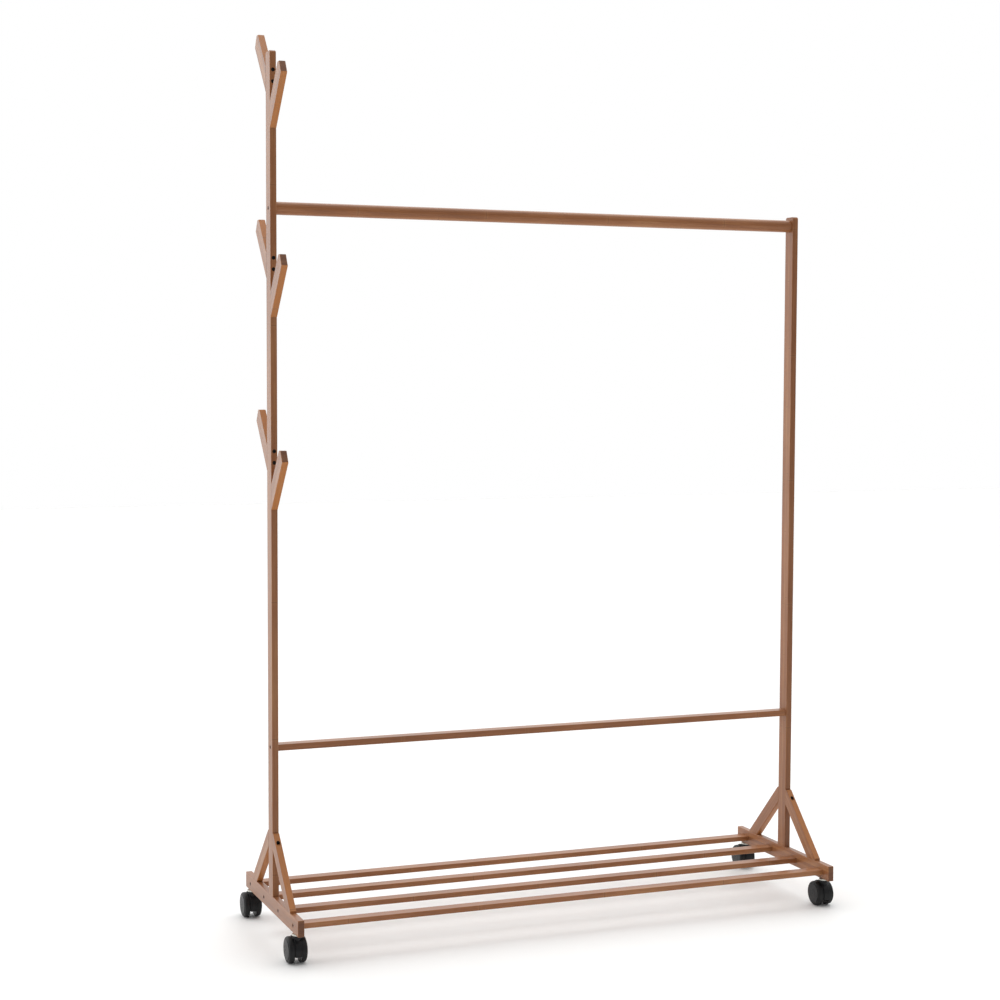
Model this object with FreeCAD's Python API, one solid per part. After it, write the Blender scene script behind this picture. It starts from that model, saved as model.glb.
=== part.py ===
import FreeCAD, Part
import math
import os

# Rolling clothes rack of flat lacquered bamboo bars. Two foot bars on swivel casters each
# carry a flat post; a round hanging rail and a flat crossbar join the posts, and four
# slats join the feet as a shelf. The left post rises past the rail as a mast with three
# pairs of slanted hook arms. Every joint is a countersunk socket screw.
# Units are millimetres. +X runs along the rail, +Y to the rear and +Z up; the origin is
# on the floor under the middle of the rack.

V = FreeCAD.Vector

# ---- overall sizes ----
RACK_WIDTH = 1100.0        # outside face of one foot to outside face of the other
FOOT_LENGTH = 375.0        # front to rear
RAIL_HEIGHT = 1360.5       # rail axis above the floor
MAST_RISE = 283.5          # top of the left post above the rail axis
POST_RISE = 18.5           # top of the right post above the rail axis
CROSSBAR_HEIGHT = 365.0    # crossbar axis above the floor

# ---- bar sections ----
BAR_THICKNESS = 12.0       # every flat bar but the slats
WIDE_BAR = 30.0            # posts, feet and hook arms
NARROW_BAR = 25.0          # slats, crossbar and braces
RAIL_DIAMETER = 24.0
EDGE_ROUND = 1.2           # hand-eased long edges
POST_TOP_ROUND = 5.0       # front and rear corners of a post's top end

# ---- shelf slats ----
SLAT_COUNT = 4
SLAT_THICKNESS = 10.0
SLAT_INSET = 34.0          # outer slat's axis from the end of the foot
SLAT_DROP = 1.5            # slat axis below the foot bar's axis

# ---- braces, at 45 degrees between post and foot ----
BRACE_REACH = 124.0        # upper edge's run along the foot, measured from the post
BRACE_TIP = 4.0            # width of the flats that trim both sharp ends

# ---- hook arms; heights are drops from the top of the left post to an arm's lower end ----
FRONT_ARM_DROPS = (139.5, 482.5, 835.5)
REAR_ARM_DROPS = (71.0, 410.5, 764.0)
ARM_NAMES = ("upper", "middle", "lower")
ARM_ANGLE = 40.0           # from the vertical, degrees
ARM_REACH = 76.0           # outermost point from the post's face
ARM_TIP_HEIGHT = 111.0     # flat tip above the arm's lower end
ARM_TIP_CLIP = 12.0        # how far the outer corner is clipped back at the tip
ARM_SCREW_RISES = (15.0, 36.0)   # screw axes above the arm's lower end

# ---- socket screws ----
SCREW_RADIUS = 1.75
SCREW_HEAD_RADIUS = 3.6
SCREW_HEAD_RIM = 0.8       # straight part of the head above its cone
SCREW_SOCKET = 3.6         # across the flats of the hexagon
SCREW_SOCKET_DEPTH = 1.8
SCREW_POINT = 4.0          # length of the tapered end
SCREW_TIP_RADIUS = 0.44
SCREW_RECESS = 0.4         # head's top below the wood's surface
SCREW_FIT = 0.05           # clearance all round a screw in its hole
LONG_SCREW = 45.0
POST_SCREW_SPREAD = 16.0   # between the two screws in a post's lower end
FOOT_SCREW_DEPTH = 6.0     # how deep the heads under the foot are sunk
FOOT_SCREW_LENGTH = 46.0
BRACE_SCREW_RISE = 105.5   # upper brace screw above the top of the foot
BRACE_FOOT_SCREW = 95.0    # lower brace screw's axis from the post's face
ARM_SCREW_SHORT = 3.5      # hook arm screw's point, short of the arm's sloping face
BRACE_SCREW_SHORT = 1.9    # upper brace screw's point, short of the post's middle

# ---- casters ----
STEM_INSET = 26.5          # stem axis from the end of the foot
TRAIL = 12.0               # wheel axle behind the stem axis
WHEEL_RADIUS = 24.0
WHEEL_WIDTH = 11.5
WHEEL_ROUND = 3.5          # rounding of the tread's outer shoulder
WHEEL_INNER_ROUND = 0.6
WHEEL_DISH_RADIUS = 19.0   # raised cap on the outer face
WHEEL_DISH_HEIGHT = 1.2
WHEEL_DISH_GAP = 0.8       # width of the groove round the cap
HOOD_THICKNESS = 12.4
HOOD_PROUD = 1.5           # hood's rim outside the tread
HOOD_FLOOR_GAP = 14.5      # hood's cut-off lower edge above the floor
HOOD_EDGE = 1.0
HOOD_CROWN_RADIUS = 8.5    # round boss on top of the hood
HOOD_CROWN_RISE = 2.6      # boss above the hood's rim
HOOD_SIDE_GAP = 0.35       # hood to the inner face of each wheel
AXLE_RADIUS = 2.5
AXLE_CHAMFER = 0.5
AXLE_END_WALL = 3.0        # wheel wall left outside the axle's end
STEM_RADIUS = 3.0          # threaded part in the foot
STEM_LENGTH = 17.0
SPIGOT_RADIUS = 3.9        # part the hood turns on
SPIGOT_LENGTH = 26.0
SPIGOT_END_GAP = 0.4       # below the spigot's end, inside the hood
COLLAR_RADIUS = 10.0
COLLAR_HEIGHT = 3.0
COLLAR_CHAMFER = 0.5
COLLAR_GAP = 0.4           # collar to the hood's crown
INSERT_RADIUS = 4.2        # threaded sleeve in the foot
INSERT_LENGTH = 20.0
RUNNING_FIT = 0.05         # radial clearance of spigot and axle

# ---- places worked out from the sizes above ----
HALF_WIDTH = RACK_WIDTH / 2
POST_X = HALF_WIDTH - BAR_THICKNESS / 2      # mid-thickness of feet and posts
INNER_X = HALF_WIDTH - BAR_THICKNESS         # inner face of feet and posts
POST_FACE_Y = WIDE_BAR / 2
AXLE_Z = WHEEL_RADIUS
HOOD_RADIUS = WHEEL_RADIUS + HOOD_PROUD
CROWN_TOP = AXLE_Z + HOOD_RADIUS + HOOD_CROWN_RISE
SPIGOT_TOP = CROWN_TOP + COLLAR_GAP
FOOT_UNDERSIDE = SPIGOT_TOP + COLLAR_HEIGHT
FOOT_TOP = FOOT_UNDERSIDE + WIDE_BAR
SLAT_Z = FOOT_UNDERSIDE + WIDE_BAR / 2 - SLAT_DROP
SLAT_SPAN = FOOT_LENGTH - 2 * SLAT_INSET
SLAT_YS = [-SLAT_SPAN / 2 + SLAT_SPAN * i / (SLAT_COUNT - 1) for i in range(SLAT_COUNT)]
MAST_TOP = RAIL_HEIGHT + MAST_RISE
RIGHT_TOP = RAIL_HEIGHT + POST_RISE
STEM_Y = FOOT_LENGTH / 2 - STEM_INSET
WHEEL_INNER_X = HOOD_THICKNESS / 2 + HOOD_SIDE_GAP
AXLE_HALF = WHEEL_INNER_X + WHEEL_WIDTH - AXLE_END_WALL
SIDES = (("left", -1), ("right", 1))
ENDS = (("front", -1), ("rear", 1))


def rounded(shape, radius, keep=None):
    """Round the shape's straight and curved edges; keep(edge) tells which stay sharp."""
    edges = [e for e in shape.Edges if keep is None or not keep(e)]
    return shape.makeFillet(radius, edges)


def block(x0, x1, y0, y1, z0, z1):
    """A plain box between two corners."""
    return Part.makeBox(x1 - x0, y1 - y0, z1 - z0, V(x0, y0, z0))


def flat_bar(x0, x1, y0, y1, z0, z1):
    """A bar of rectangular section with all its edges eased."""
    return rounded(block(x0, x1, y0, y1, z0, z1), EDGE_ROUND)


def side_profile(points, x0, x1):
    """A flat piece whose outline lies in the Y-Z plane, from x0 to x1."""
    corners = [V(x0, y, z) for y, z in points]
    face = Part.Face(Part.makePolygon(corners + corners[:1]))
    return face.extrude(V(x1 - x0, 0, 0))


def placed(shape, position, direction):
    """The shape, drawn from the origin along +Z, put at a position along a direction."""
    moved = shape.copy()
    moved.Placement = FreeCAD.Placement(position, FreeCAD.Rotation(V(0, 0, 1), direction))
    return moved


def screw(length):
    """A countersunk socket screw: head's top at the origin, point towards +Z."""
    cone_end = SCREW_HEAD_RIM + SCREW_HEAD_RADIUS - SCREW_RADIUS
    head = Part.makeCylinder(SCREW_HEAD_RADIUS, SCREW_HEAD_RIM)
    cone = Part.makeCone(SCREW_HEAD_RADIUS, SCREW_RADIUS, cone_end - SCREW_HEAD_RIM,
                         V(0, 0, SCREW_HEAD_RIM))
    shank_end = length - SCREW_POINT
    shank = Part.makeCylinder(SCREW_RADIUS, shank_end - cone_end, V(0, 0, cone_end))
    point = Part.makeCone(SCREW_RADIUS, SCREW_TIP_RADIUS, SCREW_POINT, V(0, 0, shank_end))
    corner = SCREW_SOCKET / math.sqrt(3)
    turns = [math.radians(60 * i) for i in range(7)]
    hexagon = Part.makePolygon([V(corner * math.cos(a), corner * math.sin(a), 0) for a in turns])
    socket = Part.Face(hexagon).extrude(V(0, 0, SCREW_SOCKET_DEPTH))
    return head.fuse([cone, shank, point]).removeSplitter().cut(socket)


def screw_hole(length, lead_in):
    """The hole for that screw, with clearance all round and a lead-in over its head."""
    wide = SCREW_HEAD_RADIUS + SCREW_FIT
    narrow = SCREW_RADIUS + SCREW_FIT
    mouth = Part.makeCylinder(wide, lead_in + SCREW_HEAD_RIM, V(0, 0, -lead_in))
    cone = Part.makeCone(wide, narrow, wide - narrow, V(0, 0, SCREW_HEAD_RIM))
    shank = Part.makeCylinder(narrow, length - SCREW_HEAD_RIM + SCREW_FIT,
                              V(0, 0, SCREW_HEAD_RIM))
    return mouth.fuse([cone, shank])


class ScrewSet:
    """Like screws of one joint type: where each goes in, and which way."""

    def __init__(self, length, lead_in=SCREW_RECESS):
        self.length = length
        self.lead_in = lead_in
        self.places = []

    def add(self, surface_point, direction):
        """Sink a screw into the surface at a point, along a direction."""
        self.places.append((surface_point + direction * self.lead_in, direction))

    def solids(self):
        """All the screws as one compound of separate solids."""
        return Part.makeCompound([placed(screw(self.length), p, d) for p, d in self.places])

    def holes(self):
        """The matching holes, one shape per screw."""
        over = self.lead_in + SCREW_HEAD_RADIUS
        return [placed(screw_hole(self.length, over), p, d) for p, d in self.places]


def rail_screws():
    """One through each post into the end of the rail."""
    screws = ScrewSet(LONG_SCREW)
    for _, side in SIDES:
        screws.add(V(side * HALF_WIDTH, 0, RAIL_HEIGHT), V(-side, 0, 0))
    return screws


def crossbar_screws():
    """One through each post into the end of the crossbar."""
    screws = ScrewSet(LONG_SCREW)
    for _, side in SIDES:
        screws.add(V(side * HALF_WIDTH, 0, CROSSBAR_HEIGHT), V(-side, 0, 0))
    return screws


def slat_screws():
    """One through a foot into each end of each slat."""
    screws = ScrewSet(LONG_SCREW)
    for _, side in SIDES:
        for y in SLAT_YS:
            screws.add(V(side * HALF_WIDTH, y, SLAT_Z), V(-side, 0, 0))
    return screws


def arm_screws():
    """Two per hook arm, put in from the opposite face of the post."""
    arm_depth = ARM_SCREW_RISES[0] * math.tan(math.radians(ARM_ANGLE))
    screws = ScrewSet(WIDE_BAR + arm_depth - ARM_SCREW_SHORT)
    for end, drops in ((-1, FRONT_ARM_DROPS), (1, REAR_ARM_DROPS)):
        for drop in drops:
            for rise in ARM_SCREW_RISES:
                z = MAST_TOP - drop + rise
                screws.add(V(-POST_X, -end * POST_FACE_Y, z), V(0, end, 0))
    return screws


def brace_upper_screws():
    """One level through each brace's sloping edge into the post."""
    head_y = POST_FACE_Y + BRACE_REACH - BRACE_SCREW_RISE
    length = head_y - SCREW_HEAD_RADIUS - BRACE_SCREW_SHORT
    screws = ScrewSet(length, SCREW_HEAD_RADIUS)
    for _, side in SIDES:
        for _, end in ENDS:
            screws.add(V(side * POST_X, end * head_y, FOOT_TOP + BRACE_SCREW_RISE), V(0, -end, 0))
    return screws


def foot_screws():
    """Up through each foot: two into the post and one into each brace."""
    screws = ScrewSet(FOOT_SCREW_LENGTH, FOOT_SCREW_DEPTH)
    brace_y = POST_FACE_Y + BRACE_FOOT_SCREW
    ys = (-brace_y, -POST_SCREW_SPREAD / 2, POST_SCREW_SPREAD / 2, brace_y)
    for _, side in SIDES:
        for y in ys:
            screws.add(V(side * POST_X, y, FOOT_UNDERSIDE), V(0, 0, 1))
    return screws


def drilled(wood, *screw_sets):
    """The piece of wood with a hole for each screw that reaches it."""
    box = wood.BoundBox
    tools = [h for s in screw_sets for h in s.holes() if h.BoundBox.intersect(box)]
    return wood.cut(tools) if tools else wood


def post(side, top):
    """A flat post standing on the foot; its top corners are well rounded."""
    x0 = side * POST_X - BAR_THICKNESS / 2
    bar = block(x0, x0 + BAR_THICKNESS, -POST_FACE_Y, POST_FACE_Y, FOOT_TOP, top)
    across = [e for e in bar.Edges if e.BoundBox.XLength > 1 and e.BoundBox.ZMin > top - 1]
    bar = bar.makeFillet(POST_TOP_ROUND, across)
    return rounded(bar, EDGE_ROUND, lambda e: e.BoundBox.ZMax < FOOT_TOP + 1)


def foot(side):
    """A foot bar on edge, with the pocket for a threaded sleeve near each end."""
    x0 = side * POST_X - BAR_THICKNESS / 2
    half = FOOT_LENGTH / 2
    bar = flat_bar(x0, x0 + BAR_THICKNESS, -half, half, FOOT_UNDERSIDE, FOOT_TOP)
    pockets = [Part.makeCylinder(INSERT_RADIUS, INSERT_LENGTH,
                                 V(side * POST_X, end * STEM_Y, FOOT_UNDERSIDE))
               for _, end in ENDS]
    return bar.cut(pockets)


def rail():
    """The round hanging rail between the posts' inner faces."""
    return Part.makeCylinder(RAIL_DIAMETER / 2, 2 * INNER_X, V(-INNER_X, 0, RAIL_HEIGHT),
                             V(1, 0, 0))


def flat_between_sides(y, z, thickness):
    """A narrow bar laid flat between the inner faces of the two sides."""
    bar = block(-INNER_X, INNER_X, y - NARROW_BAR / 2, y + NARROW_BAR / 2,
                z - thickness / 2, z + thickness / 2)
    return rounded(bar, EDGE_ROUND, lambda e: e.BoundBox.XLength < 1)


def brace(side, end):
    """A 45-degree strut, its ends cut to the post's face and the foot's top."""
    width_up = NARROW_BAR * math.sqrt(2)
    face = POST_FACE_Y
    reach = BRACE_REACH
    tip = BRACE_TIP
    outline = [(face, FOOT_TOP + reach - width_up), (face, FOOT_TOP + reach - tip),
               (face + tip, FOOT_TOP + reach - tip), (face + reach - tip, FOOT_TOP + tip),
               (face + reach - tip, FOOT_TOP), (face + reach - width_up, FOOT_TOP)]
    x0 = side * POST_X - BAR_THICKNESS / 2
    strut = side_profile([(end * y, z) for y, z in outline], x0, x0 + BAR_THICKNESS)
    long_edges = [e for e in strut.Edges if e.BoundBox.YLength > tip + 1
                  and e.BoundBox.ZLength > tip + 1]
    return strut.makeFillet(EDGE_ROUND, long_edges)


def hook_arm(end, drop):
    """A bar slanting out from the mast, its foot cut flush and its tip cut level."""
    slope = math.tan(math.radians(ARM_ANGLE))
    seat = WIDE_BAR / math.sin(math.radians(ARM_ANGLE))
    z0 = MAST_TOP - drop
    face = POST_FACE_Y
    outline = [(face, z0), (face + ARM_REACH, z0 + ARM_REACH / slope),
               (face + ARM_REACH - ARM_TIP_CLIP, z0 + ARM_TIP_HEIGHT),
               (face + (ARM_TIP_HEIGHT - seat) * slope, z0 + ARM_TIP_HEIGHT),
               (face, z0 + seat)]
    x0 = -POST_X - BAR_THICKNESS / 2
    arm = side_profile([(end * y, z) for y, z in outline], x0, x0 + BAR_THICKNESS)
    seated = face + 1
    return rounded(arm, EDGE_ROUND, lambda e: min(abs(e.BoundBox.YMin),
                                                  abs(e.BoundBox.YMax)) < seated)


def insert(x, y):
    """Threaded steel sleeve driven into the foot from below."""
    sleeve = Part.makeCylinder(INSERT_RADIUS, INSERT_LENGTH, V(x, y, FOOT_UNDERSIDE))
    bore = Part.makeCylinder(STEM_RADIUS + RUNNING_FIT, INSERT_LENGTH, V(x, y, FOOT_UNDERSIDE))
    return sleeve.cut(bore)


def stem(x, y):
    """Caster stem: threaded part above a bright collar, smooth spigot below it."""
    thread = Part.makeCylinder(STEM_RADIUS, STEM_LENGTH, V(x, y, FOOT_UNDERSIDE))
    collar = Part.makeCylinder(COLLAR_RADIUS, COLLAR_HEIGHT,
                               V(x, y, SPIGOT_TOP))
    collar = collar.makeChamfer(COLLAR_CHAMFER, [e for e in collar.Edges
                                                 if e.BoundBox.XLength > COLLAR_RADIUS])
    spigot = Part.makeCylinder(SPIGOT_RADIUS, SPIGOT_LENGTH,
                               V(x, y, SPIGOT_TOP - SPIGOT_LENGTH))
    return collar.fuse([thread, spigot]).removeSplitter()


def hood(x, y):
    """Moulded body between the two wheels, with the stem's socket in its crown."""
    half = HOOD_THICKNESS / 2
    axle_y = y + TRAIL
    web = Part.makeCylinder(HOOD_RADIUS, HOOD_THICKNESS, V(x - half, axle_y, AXLE_Z),
                            V(1, 0, 0))
    web = web.cut(block(x - half, x + half, axle_y - HOOD_RADIUS, axle_y + HOOD_RADIUS,
                        AXLE_Z - HOOD_RADIUS, HOOD_FLOOR_GAP))
    web = rounded(web, HOOD_EDGE)
    crown = Part.makeCylinder(HOOD_CROWN_RADIUS, HOOD_PROUD + HOOD_CROWN_RISE,
                              V(x, y, AXLE_Z + WHEEL_RADIUS))
    neck = Part.makeCylinder(half - HOOD_EDGE, CROWN_TOP - AXLE_Z, V(x, y, AXLE_Z))
    socket_floor = SPIGOT_TOP - SPIGOT_LENGTH - SPIGOT_END_GAP
    socket = Part.makeCylinder(SPIGOT_RADIUS + RUNNING_FIT, CROWN_TOP - socket_floor,
                               V(x, y, socket_floor))
    axle_bore = Part.makeCylinder(AXLE_RADIUS, HOOD_THICKNESS, V(x - half, axle_y, AXLE_Z),
                                  V(1, 0, 0))
    return web.fuse([crown, neck]).removeSplitter().cut([socket, axle_bore])


def axle(x, y):
    """Plain steel pin through the hood that both wheels run on."""
    pin = Part.makeCylinder(AXLE_RADIUS, 2 * AXLE_HALF, V(x - AXLE_HALF, y + TRAIL, AXLE_Z),
                            V(1, 0, 0))
    ends = [e for e in pin.Edges if isinstance(e.Curve, Part.Circle)]
    return pin.makeChamfer(AXLE_CHAMFER, ends)


def wheel(x, y, facing):
    """One moulded wheel: rounded tread, raised cap outside, blind bore inside."""
    inner = WHEEL_INNER_X
    outer = WHEEL_INNER_X + WHEEL_WIDTH

    def disc(radius, start, end):
        """A disc about the axle, between two distances from the caster's middle."""
        centre = V(x + facing * start, y + TRAIL, AXLE_Z)
        return Part.makeCylinder(radius, end - start, centre, V(facing, 0, 0))

    def rim(shape, offset):
        """The tread's circular edges at a distance from the caster's middle."""
        at = x + facing * offset
        return [e for e in shape.Edges if isinstance(e.Curve, Part.Circle)
                and abs(e.Curve.Radius - WHEEL_RADIUS) < 0.01
                and abs(e.Curve.Center.x - at) < 0.01]

    shoulder = outer - WHEEL_DISH_HEIGHT
    tread = disc(WHEEL_RADIUS, inner, shoulder)
    tread = tread.makeFillet(WHEEL_ROUND, rim(tread, shoulder))
    tread = tread.makeFillet(WHEEL_INNER_ROUND, rim(tread, inner))
    cap = disc(WHEEL_DISH_RADIUS, inner, outer)
    groove_floor = shoulder - WHEEL_DISH_HEIGHT
    groove = disc(WHEEL_DISH_RADIUS + WHEEL_DISH_GAP, groove_floor, shoulder)
    groove = groove.cut(disc(WHEEL_DISH_RADIUS, groove_floor, shoulder))
    bore = disc(AXLE_RADIUS + RUNNING_FIT, inner, outer - AXLE_END_WALL + RUNNING_FIT)
    return tread.fuse(cap).removeSplitter().cut([groove, bore])


def build():
    """Every node's shape by name."""
    to_rail = rail_screws()
    to_crossbar = crossbar_screws()
    to_slats = slat_screws()
    to_arms = arm_screws()
    to_braces = brace_upper_screws()
    to_feet = foot_screws()
    post_screws = (to_rail, to_crossbar, to_arms, to_braces, to_feet)

    nodes = {}
    nodes["left_post"] = drilled(post(-1, MAST_TOP), *post_screws)
    nodes["right_post"] = drilled(post(1, RIGHT_TOP), to_rail, to_crossbar, to_braces, to_feet)
    nodes["hanging_rail"] = drilled(rail(), to_rail)
    nodes["crossbar"] = drilled(flat_between_sides(0, CROSSBAR_HEIGHT, BAR_THICKNESS),
                                to_crossbar)
    for number, y in enumerate(SLAT_YS, start=1):
        nodes[f"shelf_slat_{number}"] = drilled(flat_between_sides(y, SLAT_Z, SLAT_THICKNESS),
                                                to_slats)
    for end_name, end, drops in (("front", -1, FRONT_ARM_DROPS), ("rear", 1, REAR_ARM_DROPS)):
        for name, drop in zip(ARM_NAMES, drops):
            nodes[f"hook_arm_{name}_{end_name}"] = drilled(hook_arm(end, drop), to_arms)
    for side_name, side in SIDES:
        nodes[f"{side_name}_foot"] = drilled(foot(side), to_slats, to_feet)
        for end_name, end in ENDS:
            nodes[f"{side_name}_{end_name}_brace"] = drilled(brace(side, end), to_braces,
                                                             to_feet)
            x = side * POST_X
            y = end * STEM_Y
            caster = f"caster_{side_name}_{end_name}"
            nodes[f"{caster}_insert"] = insert(x, y)
            nodes[f"{caster}_stem"] = stem(x, y)
            nodes[f"{caster}_hood"] = hood(x, y)
            nodes[f"{caster}_axle"] = axle(x, y)
            nodes[f"{caster}_wheel_left"] = wheel(x, y, -1)
            nodes[f"{caster}_wheel_right"] = wheel(x, y, 1)
    nodes["rail_screws"] = to_rail.solids()
    nodes["crossbar_screws"] = to_crossbar.solids()
    nodes["shelf_slat_screws"] = to_slats.solids()
    nodes["hook_arm_screws"] = to_arms.solids()
    nodes["brace_upper_screws"] = to_braces.solids()
    nodes["foot_screws"] = to_feet.solids()
    return nodes


os.makedirs("parts", exist_ok=True)
for node, shape in build().items():
    if not shape.isValid():
        print("invalid shape:", node)
    shape.exportStep(f"parts/{node}.step")
    print(node, len(shape.Solids), round(shape.Volume))
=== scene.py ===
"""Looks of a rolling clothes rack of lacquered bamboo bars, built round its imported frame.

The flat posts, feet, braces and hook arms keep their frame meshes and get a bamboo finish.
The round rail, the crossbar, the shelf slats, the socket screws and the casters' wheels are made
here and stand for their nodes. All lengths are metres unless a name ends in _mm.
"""

import logging
import math
from dataclasses import dataclass, field
from enum import Enum
from typing import Any, Callable, Iterable, Sequence

import bmesh
import bpy
from mathutils import Matrix, Vector


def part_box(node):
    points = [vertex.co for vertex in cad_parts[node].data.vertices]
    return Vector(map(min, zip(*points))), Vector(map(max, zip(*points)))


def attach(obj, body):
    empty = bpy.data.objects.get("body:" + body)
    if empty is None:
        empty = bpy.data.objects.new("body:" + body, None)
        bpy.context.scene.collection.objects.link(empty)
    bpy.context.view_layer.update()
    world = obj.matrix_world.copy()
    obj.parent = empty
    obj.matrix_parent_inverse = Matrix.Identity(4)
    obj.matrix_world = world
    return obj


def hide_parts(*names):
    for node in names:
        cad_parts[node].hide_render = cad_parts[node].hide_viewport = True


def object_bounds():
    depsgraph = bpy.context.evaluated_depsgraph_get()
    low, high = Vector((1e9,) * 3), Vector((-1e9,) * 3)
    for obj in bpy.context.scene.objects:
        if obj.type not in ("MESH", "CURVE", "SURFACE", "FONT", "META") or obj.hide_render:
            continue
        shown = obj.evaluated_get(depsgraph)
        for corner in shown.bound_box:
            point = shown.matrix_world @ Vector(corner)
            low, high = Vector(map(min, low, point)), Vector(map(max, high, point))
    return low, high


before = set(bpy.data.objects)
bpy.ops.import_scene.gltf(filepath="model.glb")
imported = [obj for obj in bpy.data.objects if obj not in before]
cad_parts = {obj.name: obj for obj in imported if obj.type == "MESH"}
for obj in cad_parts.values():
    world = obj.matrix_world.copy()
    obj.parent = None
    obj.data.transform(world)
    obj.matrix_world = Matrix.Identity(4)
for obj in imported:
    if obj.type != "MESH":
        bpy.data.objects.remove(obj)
CAD_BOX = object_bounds()

LOG = logging.getLogger("clothes_rack")
MM = 0.001
SIDES = (("left", -1), ("right", 1))
ENDS = (("front", -1), ("rear", 1))
ARM_NAMES = ("upper", "middle", "lower")
SLATS = tuple(f"shelf_slat_{i}" for i in range(1, 5))

X_AXIS = Vector((1, 0, 0))
Y_AXIS = Vector((0, 1, 0))
Z_AXIS = Vector((0, 0, 1))


# ---- small tools ----

def linear(hex_colour: str) -> tuple[float, float, float, float]:
    """Turn an sRGB hex colour into linear light.

    Args:
        hex_colour: six hex digits after a hash.

    Returns:
        Linear red, green, blue and a full alpha.
    """
    channels = [int(hex_colour[i:i + 2], 16) / 255 for i in (1, 3, 5)]
    light = [c / 12.92 if c <= 0.04045 else ((c + 0.055) / 1.055) ** 2.4 for c in channels]
    return (*light, 1.0)


def per_mm(size_mm: float) -> float:
    """Pattern scale, per metre, that makes one feature this many millimetres long."""
    return 1 / (size_mm * MM)


def add_node(tree: bpy.types.NodeTree, kind: str, inputs: dict[int | str, Any] | None = None,
             **settings: Any) -> bpy.types.Node:
    """Add a node to a tree, set it up and link it.

    Args:
        tree: the tree that receives the node.
        kind: the node's type name.
        inputs: input name or number to its value, or to the output socket that feeds it.
        settings: the node's own properties.

    Returns:
        The new node.
    """
    node = tree.nodes.new(kind)
    for name, value in settings.items():
        setattr(node, name, value)
    for key, value in (inputs or {}).items():
        if isinstance(value, bpy.types.NodeSocket):
            tree.links.new(value, node.inputs[key])
        else:
            node.inputs[key].default_value = value
    return node


def middle(low_high: tuple[Vector, Vector]) -> Vector:
    """The middle of a box."""
    return (low_high[0] + low_high[1]) / 2


def span(low_high: tuple[Vector, Vector]) -> Vector:
    """The size of a box."""
    return low_high[1] - low_high[0]


def new_object(name: str, mesh: bpy.types.Mesh) -> bpy.types.Object:
    """Put a mesh in the scene as an object at the origin."""
    piece = bpy.data.objects.new(name, mesh)
    bpy.context.scene.collection.objects.link(piece)
    return piece


def settled(worker: bpy.types.Object, name: str) -> bpy.types.Object:
    """Turn an object with modifiers into a plain mesh object and drop the first.

    Args:
        worker: the object whose modifiers make the shape.
        name: the finished piece's name.

    Returns:
        The finished piece, at the origin and with no modifier.
    """
    graph = bpy.context.evaluated_depsgraph_get()
    mesh = bpy.data.meshes.new_from_object(worker.evaluated_get(graph),
                                           preserve_all_data_layers=True, depsgraph=graph)
    mesh.name = name
    source = worker.data
    bpy.data.objects.remove(worker)
    if source.users == 0:
        bpy.data.meshes.remove(source)
    return new_object(name, mesh)


def shaded(piece: bpy.types.Object, crease_degrees: float) -> bpy.types.Object:
    """Shade a piece smooth, keep its creases sharp and its flat faces flat.

    Args:
        piece: the piece to shade.
        crease_degrees: edges that turn by more than this stay sharp.

    Returns:
        The shaded piece.
    """
    name = piece.name
    piece.name = name + "_worker"
    solid = bmesh.new()
    solid.from_mesh(piece.data)
    for face in solid.faces:
        face.smooth = True
    for edge in solid.edges:
        edge.smooth = edge.calc_face_angle(math.pi) < math.radians(crease_degrees)
    solid.to_mesh(piece.data)
    solid.free()
    weighted = piece.modifiers.new("weighted", "WEIGHTED_NORMAL")
    weighted.keep_sharp = True
    return settled(piece, name)


def blank_material(name: str) -> tuple[bpy.types.Material, bpy.types.NodeTree]:
    """Start a material.

    Args:
        name: the material's name.

    Returns:
        The material, and its tree with no node in it.
    """
    material = bpy.data.materials.new(name)
    material.use_nodes = True
    material.node_tree.nodes.clear()
    return material, material.node_tree


def facing(tree: bpy.types.NodeTree, way: Vector) -> bpy.types.NodeSocket:
    """How squarely the surface faces along a direction: 0 edge on, 1 square, either sense."""
    source = add_node(tree, "ShaderNodeTexCoord")
    level = add_node(tree, "ShaderNodeVectorMath", {0: source.outputs["Normal"], 1: way},
                     operation="DOT_PRODUCT").outputs["Value"]
    return add_node(tree, "ShaderNodeMath", {0: level}, operation="ABSOLUTE").outputs[0]


def dress_node(node: str, material: bpy.types.Material) -> None:
    """Give a frame node's mesh one material in place of its own."""
    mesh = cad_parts[node].data
    mesh.materials.clear()
    mesh.materials.append(material)


# ---- finishes ----

class BarStock(Enum):
    """Kinds of bar: tone of the strips, and how much painted floor-bounce light, in orange, lies
    on their narrow faces.
    """

    UPRIGHT = (0.46, 0.0)
    FOOT = (0.44, 0.0)
    CROSS = (0.47, 0.0)
    # slanted bars carry painted floor-bounce light, in orange, on their narrow faces
    SLANTED = (0.50, 0.75)

    @property
    def tone(self) -> float:
        """Tone from 0, dark, to 1, pale."""
        return self.value[0]

    @property
    def edge_warmth(self) -> float:
        """Share of painted floor-bounce light, in orange, laid on the narrow faces."""
        return self.value[1]


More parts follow.
